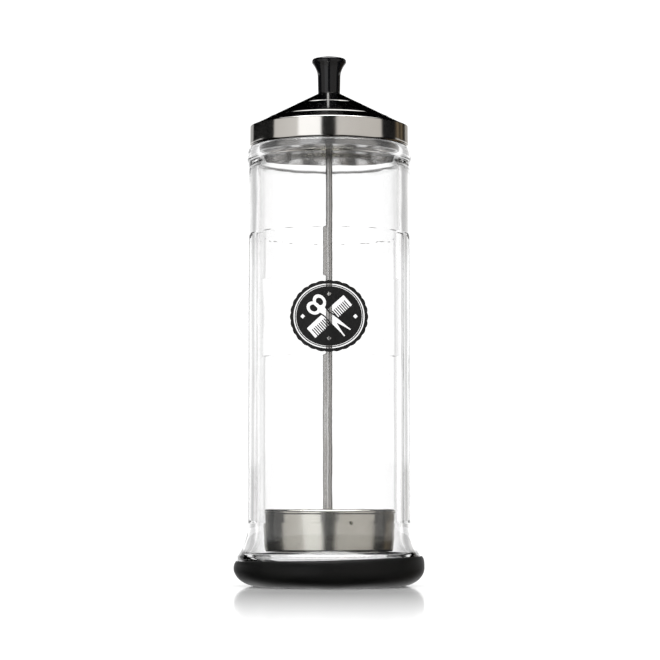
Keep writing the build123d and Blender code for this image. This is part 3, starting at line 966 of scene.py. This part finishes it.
def make_fasteners():
    for node, name in (("basket_upper_nut", "nut_above_floor"), ("basket_lower_nut", "nut_below_floor")):
        made = hexagon(name, low(node), high(node) - low(node), 0)
        finish_mesh(name, made, "hanger", node, ZINC, sharp=25)
    bottom, top = low("lid_lock_nut"), high("lid_lock_nut")
    made = hexagon("nut_under_lid", -top, top - bottom, LOCK_COLLAR)
    for vertex in made.vertices:
        vertex.co.z = -vertex.co.z
    finish_mesh("nut_under_lid", made, "hanger", "lid_lock_nut", ZINC, sharp=25)
    make_washer("basket_upper_washer", "washer_above_floor", ZINC, edge=0.12)
    make_washer("basket_lower_washer", "washer_below_floor", ZINC, edge=0.12)
    make_washer("lid_washer", "washer_under_lid", NYLON, edge=0.2)
    make_spring_washer()


# ---- Basket ----
DRAIN_R = 2.5
DRAIN_RINGS = ((12.0, 6), (24.0, 12))
VENT_R = 1.1
VENT_DROP = 7.2
VENT_ANGLE = math.radians(18.5 - 90)
PEG_LENGTH = 6.0
BASKET_RIM_R = 1.4
BASKET_WALL_TOP_R = 36.2
BASKET_WALL_BOTTOM_R = 35.0


def peg(distance, angle, z, radius, outward=False):
    """Cutter for a round hole at a distance from the axis: upright, or lying outward along its angle."""
    made = bpy.data.meshes.new("peg")
    work = bmesh.new()
    bmesh.ops.create_cone(work, cap_ends=True, segments=28, radius1=radius * MM, radius2=radius * MM,
                          depth=PEG_LENGTH * MM)
    side = Vector((math.cos(angle), math.sin(angle), 0))
    if outward:
        turn = Vector((0, 0, 1)).rotation_difference(side).to_matrix()
        bmesh.ops.rotate(work, verts=work.verts, cent=(0, 0, 0), matrix=turn)
    bmesh.ops.translate(work, verts=work.verts, vec=(side * distance + Vector((0, 0, z))) * MM)
    work.to_mesh(made)
    work.free()
    return made


def make_basket():
    bottom = low("basket")
    top = high("basket")
    rim_z = top - BASKET_RIM_R
    outline = rounded([(WASHER_BORE_R, bottom, 0.1), (BASKET_WALL_BOTTOM_R, bottom, 2.2),
                       (BASKET_WALL_TOP_R, rim_z - 1.2, 0)], closed=False, count=8)
    outline += arc((reach("basket") - BASKET_RIM_R, rim_z), BASKET_RIM_R, -62, 236, 22)
    outline += rounded([(BASKET_WALL_TOP_R - SHEET, rim_z - 2.6, 0),
                        (BASKET_WALL_BOTTOM_R - SHEET, bottom + SHEET, 1.6),
                        (WASHER_BORE_R, bottom + SHEET, 0)], closed=False, count=7)
    made = turned("basket_cup", outline, segments=240)
    pegs = [peg(BASKET_WALL_TOP_R, VENT_ANGLE, top - VENT_DROP, VENT_R, outward=True)]
    for pitch_r, count in DRAIN_RINGS:
        pegs += [peg(pitch_r, TURN * i / count, bottom, DRAIN_R) for i in range(count)]
    joined = bmesh.new()
    for mesh_data in pegs:
        joined.from_mesh(mesh_data)
    cutter = bpy.data.meshes.new("holes")
    joined.to_mesh(cutter)
    joined.free()
    made = cut_with(made, cutter)
    made.name = "basket_cup"
    finish_mesh("basket_cup", made, "hanger", "basket", BRUSHED, sharp=30)


# ---- Stage ----
EYE_X = 0.0005
EYE_DISTANCE = 1.230
EYE_HEIGHT = 0.0449
EYE_PITCH = 4.4
LENS = 122.7
SENSOR = 36.0
CLIP_START = 0.01
TABLE_HALF = 40.0
TABLE_TONE = (0.93, 0.93, 0.93)
TABLE_ROUGHNESS = 0.08
TABLE_IOR = 1.45
SHEEN_FADE = (0.1, 0.42)  # distances from the jar's axis, in metres, over which the sheen fades
SHEEN = (0.85, 0.07)

# Brightness of the studio. The places below are parts of the unit direction that a ray leaves in.
BACKGROUND = 1.15
ROOM_LIGHT = 1.3
OVERHEAD = 1.6
LAMP = 14.0
STRIP = 9.0
# Studio seen in the steel, as (degrees round from the camera towards +X, brightness, warmth).
STUDIO = (
    (-180, 1.3, 0.0), (-156, 1.3, 0.0), (-153, 0.42, 0.0), (-140, 0.42, 0.0), (-138, 0.004, 0.0),
    (-86, 0.004, 0.0), (-84, 0.62, 0.06), (-46, 0.70, 0.05), (-43, 1.25, 0.0), (-12, 1.25, 0.0),
    (-10.5, 0.012, 0.0), (9, 0.012, 0.0), (11, 0.66, 0.06), (79, 0.58, 0.09), (82, 0.006, 0.0),
    (107, 0.006, 0.0), (110, 0.03, 0.5), (117, 0.2, 0.5), (120, 0.02, 0.5), (128, 0.16, 0.5),
    (131, 0.02, 0.5), (139, 0.04, 0.3), (141, 0.42, 0.1), (153, 0.42, 0.08), (156, 1.3, 0.0),
    (180, 1.3, 0.0),
)
WARM_GREEN = 0.45  # how much of a panel's warmth is taken from its green
PANEL_TOP = (0.27, 0.31)
PANEL_FOOT = (-0.9, -0.6)
OVERHEAD_EDGE = (0.76, 0.8)
LAMP_FRONT = (-0.5, -0.56)
LAMP_BOTTOM = (0.38, 0.42)
LAMP_LEFT = 0.17
LAMP_SIDE = (0.1, 0.18)
STRIP_BOTTOM = (0.8, 0.83)
STRIP_TOP = (0.93, 0.96)
STRIP_FRONT = (-0.05, -0.15)
WINDOW_BOTTOM = (0.012, 0.022)
WINDOW_TOP = (0.1, 0.12)
WINDOW_BACK = (0.3, 0.4)
LEFT_FALL, LEFT_START, LEFT_END = 0.44, (-0.2, -0.42), (-0.6, -0.72)
RIGHT_FALL, RIGHT_START, RIGHT_END = 0.5, (0.2, 0.42), (0.6, 0.72)
UP_FALL, UP_START = 0.8, (0.2, 0.4)
DOWN_FALL, DOWN_START = 0.25, (-0.3, -0.6)
# Counts of mirror bounces and of passes through glass, halfway between whole numbers.
ONE_BOUNCE = 0.5
TWO_BOUNCES = 1.5
WALL_PASSES = (0.5, 3.5)


def make_camera():
    data = bpy.data.cameras.new("camera")
    data.lens = LENS
    data.sensor_width = SENSOR
    data.clip_start = CLIP_START
    camera = bpy.data.objects.new("camera", data)
    camera.location = (EYE_X, -EYE_DISTANCE, EYE_HEIGHT)
    camera.rotation_euler = (math.radians(90 + EYE_PITCH), 0, 0)
    bpy.context.scene.collection.objects.link(camera)
    bpy.context.scene.camera = camera


def make_floor():
    """Pale table top whose sheen fades away from the jar."""
    made = bpy.data.meshes.new("floor")
    ends = [(x * TABLE_HALF, y * TABLE_HALF, 0) for x, y in ((-1, -1), (1, -1), (1, 1), (-1, 1))]
    made.from_pydata(ends, [], [(0, 1, 2, 3)])
    floor = bpy.data.objects.new("floor", made)
    bpy.context.scene.collection.objects.link(floor)
    material = bpy.data.materials.new("floor")
    material.use_nodes = True
    material.node_tree.nodes.clear()
    n = Tree(material.node_tree)
    matt = n.add("ShaderNodeBsdfDiffuse")
    gloss = n.add("ShaderNodeBsdfPrincipled")
    matt.inputs["Color"].default_value = (*TABLE_TONE, 1)
    gloss.inputs["Base Color"].default_value = (*TABLE_TONE, 1)
    gloss.inputs["Roughness"].default_value = TABLE_ROUGHNESS
    gloss.inputs["IOR"].default_value = TABLE_IOR
    distance = n.add("ShaderNodeVectorMath", operation="LENGTH")
    n.link(n.add("ShaderNodeTexCoord").outputs["Object"], distance.inputs[0])
    mix = n.add("ShaderNodeMixShader")
    n.link(n.spread(distance.outputs["Value"], SHEEN_FADE, SHEEN), mix.inputs[0])
    n.link(matt.outputs[0], mix.inputs[1])
    n.link(gloss.outputs[0], mix.inputs[2])
    n.link(mix.outputs[0], n.add("ShaderNodeOutputMaterial").inputs[0])
    made.materials.append(material)
    floor.visible_glossy = False
    floor.visible_transmission = False


def make_world():
    """White to the eye and to matt surfaces; mirrored light comes from panels and dark gaps."""
    world = bpy.data.worlds.new("studio")
    bpy.context.scene.world = world
    world.use_nodes = True
    world.node_tree.nodes.clear()
    n = Tree(world.node_tree)

    def fade(value, edge, target=(0, 1)):
        return n.spread(value, edge, target, interpolation="SMOOTHSTEP")

    def both(a, b):
        return n.math("MULTIPLY", a, b)

    def grey(value):
        node = n.add("ShaderNodeCombineXYZ")
        for socket in node.inputs:
            n.link(value, socket)
        return node.outputs[0]

    split = n.add("ShaderNodeSeparateXYZ")
    n.link(n.add("ShaderNodeTexCoord").outputs["Generated"], split.inputs[0])
    x, y, z = split.outputs
    path = n.add("ShaderNodeLightPath")
    bounces = path.outputs["Glossy Depth"]
    passes = path.outputs["Transmission Depth"]

    # Panels round the room
    angle = n.math("ARCTAN2", x, both(y, -1.0))
    panels = n.add("ShaderNodeValToRGB")
    stops = panels.color_ramp.elements
    for index, (degrees, bright, warm) in enumerate(STUDIO):
        place = (degrees + 180) / 360
        stop = stops[index] if index < 2 else stops.new(place)
        stop.position = place
        stop.color = (bright, bright * (1 - WARM_GREEN * warm), bright * (1 - warm), 1)
    n.link(n.math("ADD", n.math("DIVIDE", angle, TURN), 0.5), panels.inputs[0])
    seen_panels = n.add("ShaderNodeVectorMath", operation="SCALE")
    n.link(panels.outputs[0], seen_panels.inputs[0])
    n.link(both(fade(z, PANEL_TOP, (1, 0)), fade(z, PANEL_FOOT)), seen_panels.inputs["Scale"])

    # Lights above them: the ceiling, a lamp seen only by way of two mirrors, and a strip in front
    lamp = both(fade(y, LAMP_FRONT), fade(z, LAMP_BOTTOM))
    lamp = both(lamp, fade(n.math("ABSOLUTE", n.math("ADD", x, LAMP_LEFT)), LAMP_SIDE, (1, 0)))
    lamp = both(lamp, n.math("GREATER_THAN", bounces, TWO_BOUNCES))
    strip = both(both(fade(z, STRIP_BOTTOM), fade(z, STRIP_TOP, (1, 0))), fade(y, STRIP_FRONT))
    lights = n.math("ADD", both(fade(z, OVERHEAD_EDGE), OVERHEAD), both(lamp, LAMP))
    lights = n.math("ADD", lights, both(strip, STRIP))
    total = n.add("ShaderNodeVectorMath", operation="ADD")
    n.link(seen_panels.outputs[0], total.inputs[0])
    n.link(grey(lights), total.inputs[1])

    # A low white window at the back
    window = both(both(fade(z, WINDOW_BOTTOM), fade(z, WINDOW_TOP, (1, 0))), fade(y, WINDOW_BACK))
    mirror_view = n.tint(window, total.outputs[0], (BACKGROUND, BACKGROUND, BACKGROUND))

    # The white background, which falls off to the sides, above and below
    left = both(fade(x, LEFT_START, (0, LEFT_FALL)), fade(x, LEFT_END, (1, 0)))
    right = both(fade(x, RIGHT_START, (0, RIGHT_FALL)), fade(x, RIGHT_END, (1, 0)))
    above = fade(z, UP_START, (0, UP_FALL))
    below = fade(z, DOWN_START, (0, DOWN_FALL))
    fall = n.math("MAXIMUM", n.math("MAXIMUM", left, right), n.math("MAXIMUM", above, below))
    through = both(n.math("SUBTRACT", 1.0, fall), BACKGROUND)

    first_pass, last_pass = WALL_PASSES
    in_wall = both(n.math("GREATER_THAN", passes, first_pass), n.math("LESS_THAN", passes, last_pass))
    mirrored = both(n.math("GREATER_THAN", bounces, ONE_BOUNCE), n.math("SUBTRACT", 1.0, in_wall))
    matt = n.math("GREATER_THAN", path.outputs["Diffuse Depth"], ONE_BOUNCE)
    seen = n.tint(mirrored, grey(through), mirror_view)
    background = n.add("ShaderNodeBackground")
    n.link(n.tint(matt, seen, (ROOM_LIGHT, ROOM_LIGHT, ROOM_LIGHT)), background.inputs["Color"])
    n.link(background.outputs[0], n.add("ShaderNodeOutputWorld").inputs[0])


def set_render():
    scene = bpy.context.scene
    scene.view_settings.view_transform = "Standard"
    scene.cycles.max_bounces = 24
    scene.cycles.transmission_bounces = 24
    scene.cycles.glossy_bounces = 12
    scene.cycles.diffuse_bounces = 3
    scene.cycles.caustics_reflective = False
    scene.cycles.blur_glossy = 0.0
    scene.cycles.sample_clamp_indirect = 6.0


make_glass()
make_badge()
make_boot()
make_lid_shell()
make_lid_ring()
make_knob()
make_insert()
make_rod()
make_fasteners()
make_basket()
make_camera()
make_floor()
make_world()
set_render()


def corners(box):
    return [[round(value, 5) for value in corner] for corner in box]
